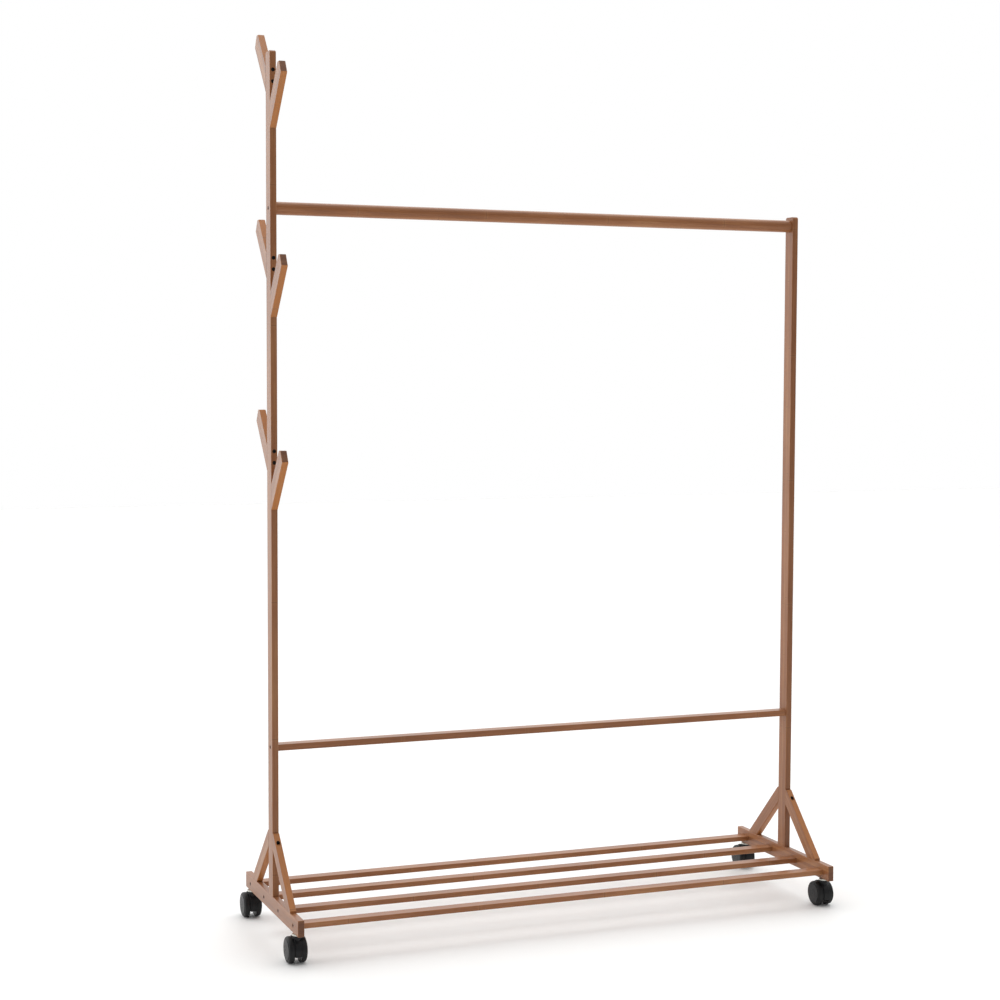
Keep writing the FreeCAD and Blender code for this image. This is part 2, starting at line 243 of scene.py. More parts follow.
@dataclass(frozen=True)
class BambooFigure:
    """Figure of carbonised bamboo, steamed brown and pressed into bars from thin strips.

    The eye gets straight strips of slightly different browns, fine dark fibre lines along
    them, and across each strip the short dark bar of a stem joint every hand's width or two.
    """

    dark: str = "#683f27"
    mid: str = "#95603b"
    pale: str = "#b58458"
    joint_mark: str = "#42251a"
    # inner: the orange of painted floor-bounce light on the slanted bars' narrow faces
    inner: str = "#c07a3a"
    strip_mm: float = 6.0
    stem_joint_mm: float = 255.0
    stem_mark_mm: float = 1.2
    stem_halo_mm: float = 7.0
    fibre_across_mm: float = 1.5      # real fibres are about 0.3 mm: drawn coarser to show
    fibre_along_mm: float = 85.0
    vessel_across_mm: float = 0.8
    vessel_along_mm: float = 16.0
    cloud_across_mm: float = 26.0
    cloud_along_mm: float = 190.0
    strip_weight: float = 0.26        # how far each pattern moves the tone
    fibre_weight: float = 0.75
    cloud_weight: float = 0.70
    painted_bounce_share: float = 0.7          # how strongly each layer covers the one below
    halo_share: float = 0.16
    vessel_share: float = 0.30
    glue_share: float = 0.22
    glue_reach: float = 0.05          # as a share of a strip's width
    mark_share: float = 0.45
    end_share: float = 0.6
    gloss_range: tuple[float, float] = (0.30, 0.42)
    relief_mm: float = 0.12
    relief_strength: float = 0.35

    def group(self) -> bpy.types.NodeTree:
        """The shared node group: grain place in, colour, roughness and bump out."""
        tree = bpy.data.node_groups.new("bamboo_figure", "ShaderNodeTree")
        for name, kind in (("Grain", "NodeSocketVector"), ("Seed", "NodeSocketFloat"),
                           ("Tone", "NodeSocketFloat"), ("End Grain", "NodeSocketFloat"),
                           ("Warm Edge", "NodeSocketFloat")):
            tree.interface.new_socket(name=name, in_out="INPUT", socket_type=kind)
        for name, kind in (("Colour", "NodeSocketColor"), ("Roughness", "NodeSocketFloat"),
                           ("Normal", "NodeSocketVector")):
            tree.interface.new_socket(name=name, in_out="OUTPUT", socket_type=kind)
        given = add_node(tree, "NodeGroupInput")
        parts = add_node(tree, "ShaderNodeSeparateXYZ", {0: given.outputs["Grain"]})
        along, across = parts.outputs[0], parts.outputs[1]
        seed = given.outputs["Seed"]

        strip_place = add_node(tree, "ShaderNodeMath",
                               {0: across, 1: per_mm(self.strip_mm), 2: 0.5},
                               operation="MULTIPLY_ADD").outputs[0]
        strip = add_node(tree, "ShaderNodeMath", {0: strip_place}, operation="FLOOR").outputs[0]
        strip_key = add_node(tree, "ShaderNodeCombineXYZ", {0: strip, 1: seed})
        chance = add_node(tree, "ShaderNodeTexWhiteNoise", {0: strip_key.outputs[0]},
                          noise_dimensions="3D")
        glue_line = add_node(tree, "ShaderNodeMath", {0: strip_place, 1: 0.5},
                             operation="PINGPONG").outputs[0]
        stem_place = add_node(tree, "ShaderNodeMath",
                              {0: along, 1: per_mm(self.stem_joint_mm),
                               2: chance.outputs["Value"]}, operation="MULTIPLY_ADD").outputs[0]
        stem_turn = add_node(tree, "ShaderNodeMath", {0: stem_place, 1: 0.5},
                             operation="PINGPONG").outputs[0]
        glue_mask, mark, halo = (
            add_node(tree, "ShaderNodeMapRange", {0: distance, 1: 0.0, 2: reach, 3: 1.0, 4: 0.0},
                     interpolation_type="SMOOTHSTEP").outputs[0]
            for distance, reach in ((glue_line, self.glue_reach),
                                    (stem_turn, self.stem_mark_mm / self.stem_joint_mm),
                                    (stem_turn, self.stem_halo_mm / self.stem_joint_mm)))

        def stretched(across_mm: float, along_mm: float, detail: float) -> bpy.types.NodeSocket:
            """Noise drawn out along the fibres; returns its value."""
            scale = (per_mm(along_mm), per_mm(across_mm), per_mm(across_mm))
            place = add_node(tree, "ShaderNodeVectorMath",
                             {0: given.outputs["Grain"], 1: scale}, operation="MULTIPLY")
            noise = add_node(tree, "ShaderNodeTexNoise",
                             {"Vector": place.outputs[0], "W": seed, "Scale": 1.0,
                              "Detail": detail, "Roughness": 0.55}, noise_dimensions="4D")
            return noise.outputs[0]

        fibre = stretched(self.fibre_across_mm, self.fibre_along_mm, 3.0)
        vessel = stretched(self.vessel_across_mm, self.vessel_along_mm, 1.0)
        cloud = stretched(self.cloud_across_mm, self.cloud_along_mm, 2.0)

        shade = given.outputs["Tone"]
        for source, weight in ((chance.outputs["Value"], self.strip_weight),
                               (fibre, self.fibre_weight), (cloud, self.cloud_weight)):
            offset = add_node(tree, "ShaderNodeMath", {0: source, 1: 0.5},
                              operation="SUBTRACT").outputs[0]
            shade = add_node(tree, "ShaderNodeMath", {0: offset, 1: weight, 2: shade},
                             operation="MULTIPLY_ADD").outputs[0]
        ramp = add_node(tree, "ShaderNodeValToRGB", {0: shade})
        ramp.color_ramp.elements[0].color = linear(self.dark)
        ramp.color_ramp.elements[1].color = linear(self.pale)
        ramp.color_ramp.elements.new(0.5).color = linear(self.mid)

        vessel_mask = add_node(tree, "ShaderNodeMapRange",
                               {0: vessel, 1: 0.60, 2: 0.74, 3: 0.0,
                                4: self.vessel_share}).outputs[0]
        colour = ramp.outputs[0]
        # first layer: painted floor-bounce light, orange on the slanted bars' narrow faces
        for mask, share, shade_hex in (
                (given.outputs["Warm Edge"], self.painted_bounce_share, self.inner),
                (halo, self.halo_share, self.pale),
                (vessel_mask, 1.0, self.joint_mark),
                (glue_mask, self.glue_share, self.joint_mark),
                (mark, self.mark_share, self.joint_mark),
                (given.outputs["End Grain"], self.end_share, self.joint_mark)):
            cover = add_node(tree, "ShaderNodeMath", {0: mask, 1: share}, operation="MULTIPLY")
            colour = add_node(tree, "ShaderNodeMix",
                              {0: cover.outputs[0], 6: colour, 7: linear(shade_hex)},
                              data_type="RGBA").outputs[2]

        gloss = add_node(tree, "ShaderNodeMapRange",
                         {0: fibre, 1: 0.2, 2: 0.8, 3: self.gloss_range[0],
                          4: self.gloss_range[1]}).outputs[0]
        relief = add_node(tree, "ShaderNodeMath", {0: fibre, 1: vessel_mask},
                          operation="SUBTRACT").outputs[0]
        bump = add_node(tree, "ShaderNodeBump",
                        {"Strength": self.relief_strength, "Distance": self.relief_mm * MM,
                         "Height": relief})
        add_node(tree, "NodeGroupOutput", {0: colour, 1: gloss, 2: bump.outputs[0]})
        return tree


@dataclass(frozen=True)
class LacqueredBamboo:
    """Semi-gloss clear lacquer, sprayed over the steamed bamboo.

    It is a smooth skin: soft wide highlights, and a pale sheen on faces seen at a slant.
    """

    figure: bpy.types.NodeTree
    ior: float = 1.5
    specular: float = 0.3
    coat: float = 0.12
    coat_roughness: float = 0.16

    def _finish(self, name: str, seed: float, stock: BarStock,
                grain: Callable[[bpy.types.NodeTree], dict[str, bpy.types.NodeSocket]]
                ) -> bpy.types.Material:
        """Build the material round a source of grain places.

        Args:
            name: the material's name.
            seed: picks the strips.
            stock: the kind of bar.
            grain: makes the nodes that feed the figure's inputs, and gives them by name.

        Returns:
            The material.
        """
        material, tree = blank_material(name)
        drawn = add_node(tree, "ShaderNodeGroup", node_tree=self.figure)
        for label, socket in grain(tree).items():
            tree.links.new(socket, drawn.inputs[label])
        drawn.inputs["Seed"].default_value = seed
        drawn.inputs["Tone"].default_value = stock.tone
        surface = add_node(tree, "ShaderNodeBsdfPrincipled",
                           {"Base Color": drawn.outputs["Colour"],
                            "Roughness": drawn.outputs["Roughness"],
                            "Normal": drawn.outputs["Normal"], "IOR": self.ior,
                            "Specular IOR Level": self.specular,
                            "Coat Weight": self.coat, "Coat Roughness": self.coat_roughness})
        add_node(tree, "ShaderNodeOutputMaterial", {0: surface.outputs[0]})
        return material

    def along(self, name: str, direction: Vector, across: Vector, centre: Vector, seed: float,
              stock: BarStock) -> bpy.types.Material:
        """The finish for one straight bar.

        Args:
            name: the material's name.
            direction: the way its fibres run.
            across: the way its strips lie side by side.
            centre: a point on its middle line.
            seed: picks the strips.
            stock: the kind of bar.

        Returns:
            The material.
        """
        turn = Matrix((direction, across, direction.cross(across)))

        def grain(tree: bpy.types.NodeTree) -> dict[str, bpy.types.NodeSocket]:
            """Turn object coordinates to the bar's own axes."""
            source = add_node(tree, "ShaderNodeTexCoord")
            place = add_node(tree, "ShaderNodeMapping",
                             {"Vector": source.outputs["Object"],
                              "Location": -(turn @ centre), "Rotation": turn.to_euler()})
            shares = []
            # the second share marks the narrow faces that get painted floor-bounce light
            for way, least, most in ((direction, 0.8, 1.0), (across, 0.6, stock.edge_warmth)):
                shares.append(add_node(tree, "ShaderNodeMapRange",
                                       {0: facing(tree, way), 1: least, 2: 0.95, 3: 0.0,
                                        4: most}).outputs[0])
            return {"Grain": place.outputs[0], "End Grain": shares[0], "Warm Edge": shares[1]}

        return self._finish(name, seed, stock, grain)

    def carried(self, name: str, seed: float, stock: BarStock) -> bpy.types.Material:
        """The finish for bars that carry their own grain place as an attribute.

        Args:
            name: the material's name.
            seed: picks the strips.
            stock: the kind of bar.

        Returns:
            The material.
        """
        def grain(tree: bpy.types.NodeTree) -> dict[str, bpy.types.NodeSocket]:
            """Read the attribute that the bars' node tree stored."""
            place = add_node(tree, "ShaderNodeAttribute", attribute_name="grain")
            return {"Grain": place.outputs["Vector"], "End Grain": facing(tree, X_AXIS)}

        return self._finish(name, seed, stock, grain)


@dataclass(frozen=True)
class MouldedNylon:
    """Black polyamide, injection moulded in a finely sparked tool, so satin, not glossy.

    The eye gets a near-black with a broad grey sheen and a faint grain. Where it rolls it
    is scuffed paler and duller.
    """

    base: str = "#141415"
    scuffed: str = "#2c2b2a"
    ior: float = 1.53
    specular: float = 0.25
    roughness: float = 0.42
    grain_mm: float = 0.7             # the real spark grain is about 0.1 mm
    scuff_mm: float = 6.0
    scuff_share: float = 0.25

    def material(self, name: str) -> bpy.types.Material:
        """Build the finish.

        Args:
            name: the material's name.

        Returns:
            The material.
        """
        material, tree = blank_material(name)
        place = add_node(tree, "ShaderNodeTexCoord").outputs["Object"]
        grain = add_node(tree, "ShaderNodeTexNoise",
                         {"Vector": place, "Scale": per_mm(self.grain_mm), "Detail": 2.0})
        scuff = add_node(tree, "ShaderNodeTexNoise",
                         {"Vector": place, "Scale": per_mm(self.scuff_mm), "Detail": 5.0,
                          "Roughness": 0.65})
        worn = add_node(tree, "ShaderNodeMapRange",
                        {0: scuff.outputs[0], 1: 0.52, 2: 0.78, 3: 0.0, 4: self.scuff_share})
        colour = add_node(tree, "ShaderNodeMix",
                          {0: worn.outputs[0], 6: linear(self.base), 7: linear(self.scuffed)},
                          data_type="RGBA").outputs[2]
        gloss = add_node(tree, "ShaderNodeMapRange",
                         {0: scuff.outputs[0], 1: 0.3, 2: 0.75, 3: self.roughness - 0.05,
                          4: self.roughness + 0.12})
        bump = add_node(tree, "ShaderNodeBump",
                        {"Strength": 0.25, "Distance": 0.05 * MM, "Height": grain.outputs[0]})
        surface = add_node(tree, "ShaderNodeBsdfPrincipled",
                           {"Base Color": colour, "Roughness": gloss.outputs[0],
                            "Normal": bump.outputs[0], "IOR": self.ior,
                            "Specular IOR Level": self.specular})
        add_node(tree, "ShaderNodeOutputMaterial", {0: surface.outputs[0]})
        return material


@dataclass(frozen=True)
class PlatedSteel:
    """Steel with a thin skin: bright zinc, or a black oxide that dulls the metal.

    The eye gets a metal whose highlights are broken by fine turning lines and spotting.
    """

    base: str
    spotted: str
    metallic: float
    roughness: float
    spot_mm: float = 1.8

    def material(self, name: str) -> bpy.types.Material:
        """Build the finish.

        Args:
            name: the material's name.

        Returns:
            The material.
        """
        material, tree = blank_material(name)
        place = add_node(tree, "ShaderNodeTexCoord").outputs["Object"]
        spots = add_node(tree, "ShaderNodeTexNoise",
                         {"Vector": place, "Scale": per_mm(self.spot_mm), "Detail": 4.0})
        colour = add_node(tree, "ShaderNodeMix",
                          {0: spots.outputs[0], 6: linear(self.base), 7: linear(self.spotted)},
                          data_type="RGBA").outputs[2]
        gloss = add_node(tree, "ShaderNodeMapRange",
                         {0: spots.outputs[0], 1: 0.3, 2: 0.7, 3: self.roughness - 0.06,
                          4: self.roughness + 0.1})
        bump = add_node(tree, "ShaderNodeBump",
                        {"Strength": 0.15, "Distance": 0.02 * MM, "Height": spots.outputs[0]})
        surface = add_node(tree, "ShaderNodeBsdfPrincipled",
                           {"Base Color": colour, "Metallic": self.metallic,
                            "Roughness": gloss.outputs[0], "Normal": bump.outputs[0]})
        add_node(tree, "ShaderNodeOutputMaterial", {0: surface.outputs[0]})
        return material


# ---- node trees that make what repeats ----

class Maker:
    """A geometry node tree with named inputs, and the way to run it once."""

    def __init__(self, name: str, sizes: dict[str, str], takes_points: bool = False) -> None:
        """Start the tree.

        Args:
            name: the tree's name.
            sizes: input name to its socket type.
            takes_points: whether the tree works on the geometry of the object it is given.
        """
        self.tree = bpy.data.node_groups.new(name, "GeometryNodeTree")
        faces = self.tree.interface
        if takes_points:
            faces.new_socket(name="Geometry", in_out="INPUT", socket_type="NodeSocketGeometry")
        self.keys = {}
        for label, kind in sizes.items():
            socket = faces.new_socket(name=label, in_out="INPUT", socket_type=kind)
            self.keys[label] = socket.identifier
        faces.new_socket(name="Geometry", in_out="OUTPUT", socket_type="NodeSocketGeometry")
        self.given = add_node(self.tree, "NodeGroupInput")

    def size(self, label: str) -> bpy.types.NodeSocket:
        """The socket that gives a named input."""
        return self.given.outputs[label]

    def swept_bar(self, section: bpy.types.NodeSocket) -> bpy.types.NodeSocket:
        """Sweep a section along X over the Length input, centred on the origin.

        Args:
            section: the closed curve to sweep.

        Returns:
            The bar; each point keeps its own place as its grain.
        """
        half = add_node(self.tree, "ShaderNodeMath", {0: self.size("Length"), 1: 0.5},
                        operation="MULTIPLY").outputs[0]
        back = add_node(self.tree, "ShaderNodeMath", {0: half, 1: -1.0},
                        operation="MULTIPLY").outputs[0]
        start, end = (add_node(self.tree, "ShaderNodeCombineXYZ", {0: x}).outputs[0]
                      for x in (back, half))
        line = add_node(self.tree, "GeometryNodeCurvePrimitiveLine",
                        {"Start": start, "End": end})
        upright = add_node(self.tree, "GeometryNodeSetCurveNormal", {0: line.outputs[0]},
                           mode="Z_UP")
        bar = add_node(self.tree, "GeometryNodeCurveToMesh",
                       {"Curve": upright.outputs[0], "Profile Curve": section,
                        "Fill Caps": True})
        own_place = add_node(self.tree, "GeometryNodeInputPosition")
        return add_node(self.tree, "GeometryNodeStoreNamedAttribute",
                        {"Geometry": bar.outputs[0], "Name": "grain",
                         "Value": own_place.outputs[0]},
                        data_type="FLOAT_VECTOR", domain="POINT").outputs[0]

    def finish(self, geometry: bpy.types.NodeSocket) -> None:
        """Realize what the tree made, dress it and send it out."""
        plain = add_node(self.tree, "GeometryNodeRealizeInstances", {0: geometry})
        dressed = add_node(self.tree, "GeometryNodeSetMaterial",
                           {"Geometry": plain.outputs[0], "Material": self.size("Material")})
        add_node(self.tree, "NodeGroupOutput", {0: dressed.outputs[0]})

    def run(self, name: str, values: dict[str, Any], points: bpy.types.Mesh | None = None
            ) -> bpy.types.Object:
        """Make one piece.

        Args:
            name: the piece's name.
            values: input name to its value.
            points: the points to work on, where the tree takes them.

        Returns:
            The piece as a plain mesh object.
        """
        worker = new_object(name + "_worker", points or bpy.data.meshes.new(name + "_worker"))
        nodes = worker.modifiers.new("make", "NODES")
        nodes.node_group = self.tree
        for label, value in values.items():
            nodes[self.keys[label]] = value
        return settled(worker, name)


def bar_maker() -> Maker:
    """A row of flat bars with eased edges, lying along X and spaced along Y."""
    maker = Maker("bar_row", {"Length": "NodeSocketFloat", "Width": "NodeSocketFloat",
                              "Thickness": "NodeSocketFloat", "Edge Round": "NodeSocketFloat",
                              "Count": "NodeSocketInt", "First": "NodeSocketVector",
                              "Spacing": "NodeSocketFloat", "Material": "NodeSocketMaterial"})
    tree = maker.tree
    section = add_node(tree, "GeometryNodeCurvePrimitiveQuadrilateral",
                       {"Width": maker.size("Width"), "Height": maker.size("Thickness")})
    eased = add_node(tree, "GeometryNodeFilletCurve",
                     {"Curve": section.outputs[0], "Radius": maker.size("Edge Round"),
                      "Count": 6}, mode="POLY")
    bar = maker.swept_bar(eased.outputs[0])
    number = add_node(tree, "GeometryNodeInputIndex")
    step = add_node(tree, "ShaderNodeCombineXYZ", {1: maker.size("Spacing")})
    row = add_node(tree, "GeometryNodeMeshLine",
                   {"Count": maker.size("Count"), "Start Location": maker.size("First"),
                    "Offset": step.outputs[0]})
    bars = add_node(tree, "GeometryNodeInstanceOnPoints",
                    {"Points": row.outputs[0], "Instance": bar})
    numbered = add_node(tree, "GeometryNodeStoreNamedAttribute",
                        {"Geometry": bars.outputs[0], "Name": "bar_number",
                         "Value": number.outputs[0]}, data_type="FLOAT", domain="INSTANCE")
    plain = add_node(tree, "GeometryNodeRealizeInstances", {0: numbered.outputs[0]})
    shift = add_node(tree, "GeometryNodeInputNamedAttribute", {"Name": "bar_number"},
                     data_type="FLOAT")
    grain = add_node(tree, "GeometryNodeInputNamedAttribute", {"Name": "grain"},
                     data_type="FLOAT_VECTOR")
    apart = add_node(tree, "ShaderNodeVectorMath",
                     {0: (1.37, 0.0, 0.71), "Scale": shift.outputs[0]}, operation="SCALE")
    own_strips = add_node(tree, "ShaderNodeVectorMath",
                          {0: grain.outputs[0], 1: apart.outputs[0]}, operation="ADD")
    varied = add_node(tree, "GeometryNodeStoreNamedAttribute",
                      {"Geometry": plain.outputs[0], "Name": "grain",
                       "Value": own_strips.outputs[0]},
                      data_type="FLOAT_VECTOR", domain="POINT")
    maker.finish(varied.outputs[0])
    return maker


def rod_maker() -> Maker:
    """A round bar along X, turned from a square of pressed strips."""
    maker = Maker("round_rod", {"Length": "NodeSocketFloat", "Radius": "NodeSocketFloat",
                                "Sides": "NodeSocketInt", "Centre": "NodeSocketVector",
                                "Material": "NodeSocketMaterial"})
    tree = maker.tree
    section = add_node(tree, "GeometryNodeCurvePrimitiveCircle",
                       {"Resolution": maker.size("Sides"), "Radius": maker.size("Radius")})
    placed = add_node(tree, "GeometryNodeTransform",
                      {"Geometry": maker.swept_bar(section.outputs[0]),
                       "Translation": maker.size("Centre")})
    maker.finish(placed.outputs[0])
    return maker


def screw_maker() -> Maker:
    """A screw on each point, along the point's direction, its socket turned by chance."""
    maker = Maker("screw_set", {"Screw": "NodeSocketObject", "Seed": "NodeSocketInt",
                                "Material": "NodeSocketMaterial"}, takes_points=True)
    tree = maker.tree
    way = add_node(tree, "GeometryNodeInputNamedAttribute", {"Name": "way"},
                   data_type="FLOAT_VECTOR")
    aimed = add_node(tree, "FunctionNodeAlignRotationToVector", {"Vector": way.outputs[0]},
                     axis="Z")
    chance = add_node(tree, "FunctionNodeRandomValue",
                      {2: 0.0, 3: math.tau, "Seed": maker.size("Seed")}, data_type="FLOAT")
    twist = add_node(tree, "FunctionNodeAxisAngleToRotation",
                     {"Axis": Z_AXIS, "Angle": chance.outputs[1]})
    turned = add_node(tree, "FunctionNodeRotateRotation",
                      {0: aimed.outputs[0], 1: twist.outputs[0]}, rotation_space="LOCAL")
    screw = add_node(tree, "GeometryNodeObjectInfo", {"Object": maker.size("Screw")})
    screws = add_node(tree, "GeometryNodeInstanceOnPoints",
                      {"Points": maker.given.outputs["Geometry"],
                       "Instance": screw.outputs["Geometry"], "Rotation": turned.outputs[0]})
    maker.finish(screws.outputs[0])
    return maker


# ---- the object's sub-assemblies ----

@dataclass
class FlatBars:
    """Posts, feet, braces and hook arms: frame meshes that get their bamboo."""

    lacquer: LacqueredBamboo
    arm_lean: float = math.radians(40.0)
    brace_lean: float = math.radians(45.0)
    pieces: list[str] = field(default_factory=list)

    def _dress(self, node: str, direction: Vector, across: Vector, stock: BarStock) -> None:
        """Give one node its own bamboo, drawn along its fibres."""
        seed = 3.7 * (len(self.pieces) + 1)
        material = self.lacquer.along(f"bamboo_{node}", direction, across,
                                      middle(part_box(node)), seed, stock)
        dress_node(node, material)
        self.pieces.append(node)

    def build(self) -> None:
        """Dress every flat bar that the frame holds."""
        for side, _ in SIDES:
            self._dress(f"{side}_post", Z_AXIS, Y_AXIS, BarStock.UPRIGHT)
            self._dress(f"{side}_foot", Y_AXIS, Z_AXIS, BarStock.FOOT)
            for end, outward in ENDS:
                lean = Vector((0, -outward * math.sin(self.brace_lean),
                               math.cos(self.brace_lean)))
                self._dress(f"{side}_{end}_brace", lean, X_AXIS.cross(lean), BarStock.SLANTED)
        for end, outward in ENDS:
            lean = Vector((0, outward * math.sin(self.arm_lean), math.cos(self.arm_lean)))
            for name in ARM_NAMES:
                self._dress(f"hook_arm_{name}_{end}", lean, X_AXIS.cross(lean),
                            BarStock.SLANTED)
        LOG.info("flat bars dressed: %d", len(self.pieces))


@dataclass
class CrossPieces:
    """What joins the two sides: the hanging rail, the crossbar and the shelf slats."""

    lacquer: LacqueredBamboo
    edge_round: float = 1.6 * MM
    rod_sides: int = 96
    crease_degrees: float = 40.0
    rail_seed: float = 91.0
    crossbar_seed: float = 55.0
    slat_seed: float = 23.0

    def _rail(self) -> bpy.types.Object:
        """The round rail between the posts."""
        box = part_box("hanging_rail")
        material = self.lacquer.carried("bamboo_hanging_rail", self.rail_seed, BarStock.CROSS)
        rail = rod_maker().run("rail_turned", {"Length": span(box).x, "Radius": span(box).z / 2,
                                               "Sides": self.rod_sides, "Centre": middle(box),
                                               "Material": material})
        rail = shaded(rail, self.crease_degrees)
        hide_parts("hanging_rail")
        return rail

    def _row(self, maker: Maker, name: str, nodes: Sequence[str], seed: float
             ) -> bpy.types.Object:
        """A row of alike bars that stands for its nodes.

        Args:
            maker: the tree that makes the row.
            name: the piece's name.
            nodes: the nodes, front to rear.
            seed: picks the strips.

        Returns:
            The row.
        """
        first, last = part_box(nodes[0]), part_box(nodes[-1])
        gaps = max(len(nodes) - 1, 1)
        row = maker.run(name, {"Length": span(first).x, "Width": span(first).y,
                               "Thickness": span(first).z, "Edge Round": self.edge_round,
                               "Count": len(nodes), "First": middle(first),
                               "Spacing": (middle(last) - middle(first)).y / gaps,
                               "Material": self.lacquer.carried(f"bamboo_{name}", seed,
                                                                BarStock.CROSS)})
        row = shaded(row, self.crease_degrees)
        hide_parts(*nodes)
        return row

    def build(self) -> None:
        """Make the three kinds of cross piece."""
        bars = bar_maker()
        pieces = [self._rail(),
                  self._row(bars, "crossbar_bar", ["crossbar"], self.crossbar_seed),
                  self._row(bars, "shelf_slats", SLATS, self.slat_seed)]
        for piece in pieces:
            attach(piece, "frame")
            LOG.info("%s: %d faces", piece.name, len(piece.data.polygons))


@dataclass
class SocketScrews:
    """Black countersunk screws with hexagon sockets, sunk a little below the wood."""

    finish: PlatedSteel
    head_radius: float = 3.6 * MM
    shank_radius: float = 1.75 * MM
    rim: float = 0.8 * MM
    socket_flats: float = 3.6 * MM
    socket_depth: float = 1.8 * MM
    recess: float = 0.4 * MM
    long: float = 45 * MM
    arm_long: float = 39.09 * MM
    foot_long: float = 46 * MM
    foot_depth: float = 6 * MM
    brace_long: float = 28 * MM
    brace_rise: float = 105.5 * MM
    brace_trim: float = 4 * MM
    brace_foot_run: float = 95 * MM
    post_spread: float = 16 * MM
    arm_rises: tuple[float, float] = (15 * MM, 36 * MM)
    sides: int = 24
    thread_pitch: float = 1.8 * MM
    thread_depth: float = 0.3 * MM
    point: float = 4 * MM
    rim_ease: float = 0.25 * MM
    crease_degrees: float = 35.0
    maker: Maker = field(default_factory=screw_maker)

    def _lathe_line(self, length: float) -> list[tuple[float, float]]:
        """Outline of the screw below its socket rim, as radius and depth."""
        cone_end = self.rim + self.head_radius - self.shank_radius
        line = [(self.head_radius - self.rim_ease, 0.0), (self.head_radius, self.rim_ease),
                (self.head_radius, self.rim), (self.shank_radius, cone_end)]
        turns = int((length - self.point - cone_end) / self.thread_pitch)
        core = self.shank_radius - self.thread_depth
        for turn in range(turns):
            top = cone_end + (turn + 0.5) * self.thread_pitch
            line += [(core, top), (self.shank_radius, top + 0.4 * self.thread_pitch)]
        return line + [(core, length - self.point), (core / 3, length)]

    def _screw(self, name: str, length: float) -> bpy.types.Object:
        """One screw, head at the origin and point towards +Z, as a closed mesh."""
        solid = bmesh.new()
        angles = [math.tau * i / self.sides for i in range(self.sides)]
        rings = [[solid.verts.new((r * math.cos(a), r * math.sin(a), z)) for a in angles]
                 for r, z in self._lathe_line(length)]
        corner = self.socket_flats / math.sqrt(3)
        step = self.sides // 6
        hexagon = []
        for depth in (0.0, self.socket_depth):
            ring = []
            for i, angle in enumerate(angles):
                share = (i % step) / step
                start = math.tau * (i // step) / 6
                at = Vector((math.cos(start), math.sin(start))).lerp(
                    Vector((math.cos(start + math.tau / 6), math.sin(start + math.tau / 6))),
                    share) * corner
                ring.append(solid.verts.new((at.x, at.y, depth)))
            hexagon.append(ring)
        loops = [hexagon[1], hexagon[0], *rings]
        for inner, outer in zip(loops, loops[1:]):
            for i in range(self.sides):
                j = (i + 1) % self.sides
                solid.faces.new((inner[i], inner[j], outer[j], outer[i]))
        solid.faces.new(hexagon[1])
        solid.faces.new(rings[-1])
        bmesh.ops.recalc_face_normals(solid, faces=solid.faces)
        mesh = bpy.data.meshes.new(name)
        solid.to_mesh(mesh)
        solid.free()
        return new_object(name, mesh)

    def _set(self, node: str, length: float, places: Iterable[tuple[Vector, Vector]],
             seed: int, depth: float | None = None) -> None:
        """Make one joint type's screws and let them stand for their node.

        Args:
            node: the node that holds these screws.
            length: length of each screw.
            places: surface point and direction of each screw.
            seed: picks the sockets' turns.
            depth: how deep the heads are sunk, or None for the usual recess.
        """
        depth = self.recess if depth is None else depth
        points, ways = zip(*places)
        mesh = bpy.data.meshes.new(node + "_points")
        mesh.from_pydata([p + w * depth for p, w in zip(points, ways)], [], [])
        way = mesh.attributes.new("way", "FLOAT_VECTOR", "POINT")
        way.data.foreach_set("vector", [c for w in ways for c in w])
        screw = self._screw(node + "_one", length)
        made = self.maker.run(node + "_detailed",
                              {"Screw": screw, "Seed": seed,
                               "Material": self.finish.material(f"black_oxide_{node}")}, mesh)
        bpy.data.objects.remove(screw)
        made = shaded(made, self.crease_degrees)
        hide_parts(node)
        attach(made, "frame")
        LOG.info("%s: %d screws", made.name, len(points))

    def build(self) -> None:
        """Make every set, each placed from the bars that it joins."""
        left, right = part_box("left_post"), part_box("right_post")
        outer = {-1: left[0].x, 1: right[1].x}
        post_x = {-1: middle(left).x, 1: middle(right).x}
        post_y = right[1].y
        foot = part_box("left_foot")

        def through_side(nodes: Iterable[str]) -> list[tuple[Vector, Vector]]:
            """Screws through both sides into the ends of cross pieces."""
            return [(Vector((outer[s], middle(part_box(n)).y, middle(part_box(n)).z)), -s * X_AXIS)
                    for _, s in SIDES for n in nodes]

        arms = [(Vector((post_x[-1], -outward * post_y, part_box(node)[0].z + rise)),
                 outward * Y_AXIS)
                for end, outward in ENDS
                for node in (f"hook_arm_{name}_{end}" for name in ARM_NAMES)
                for rise in self.arm_rises]
        reach = span(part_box("left_front_brace")).y + self.brace_trim
        head_y = post_y + reach - self.brace_rise
        braces = [(Vector((post_x[s], e * head_y, foot[1].z + self.brace_rise)), -e * Y_AXIS)
                  for _, s in SIDES for _, e in ENDS]
        brace_y = post_y + self.brace_foot_run
        foot_ys = (-brace_y, -self.post_spread / 2, self.post_spread / 2, brace_y)
        feet = [(Vector((post_x[s], y, foot[0].z)), Z_AXIS) for _, s in SIDES for y in foot_ys]
        self._set("rail_screws", self.long, through_side(["hanging_rail"]), 1)
        self._set("crossbar_screws", self.long, through_side(["crossbar"]), 2)
        self._set("shelf_slat_screws", self.long, through_side(SLATS), 3)
        self._set("hook_arm_screws", self.arm_long, arms, 4)
        self._set("brace_upper_screws", self.brace_long, braces, 5, self.head_radius)
        self._set("foot_screws", self.foot_long, feet, 6, self.foot_depth)


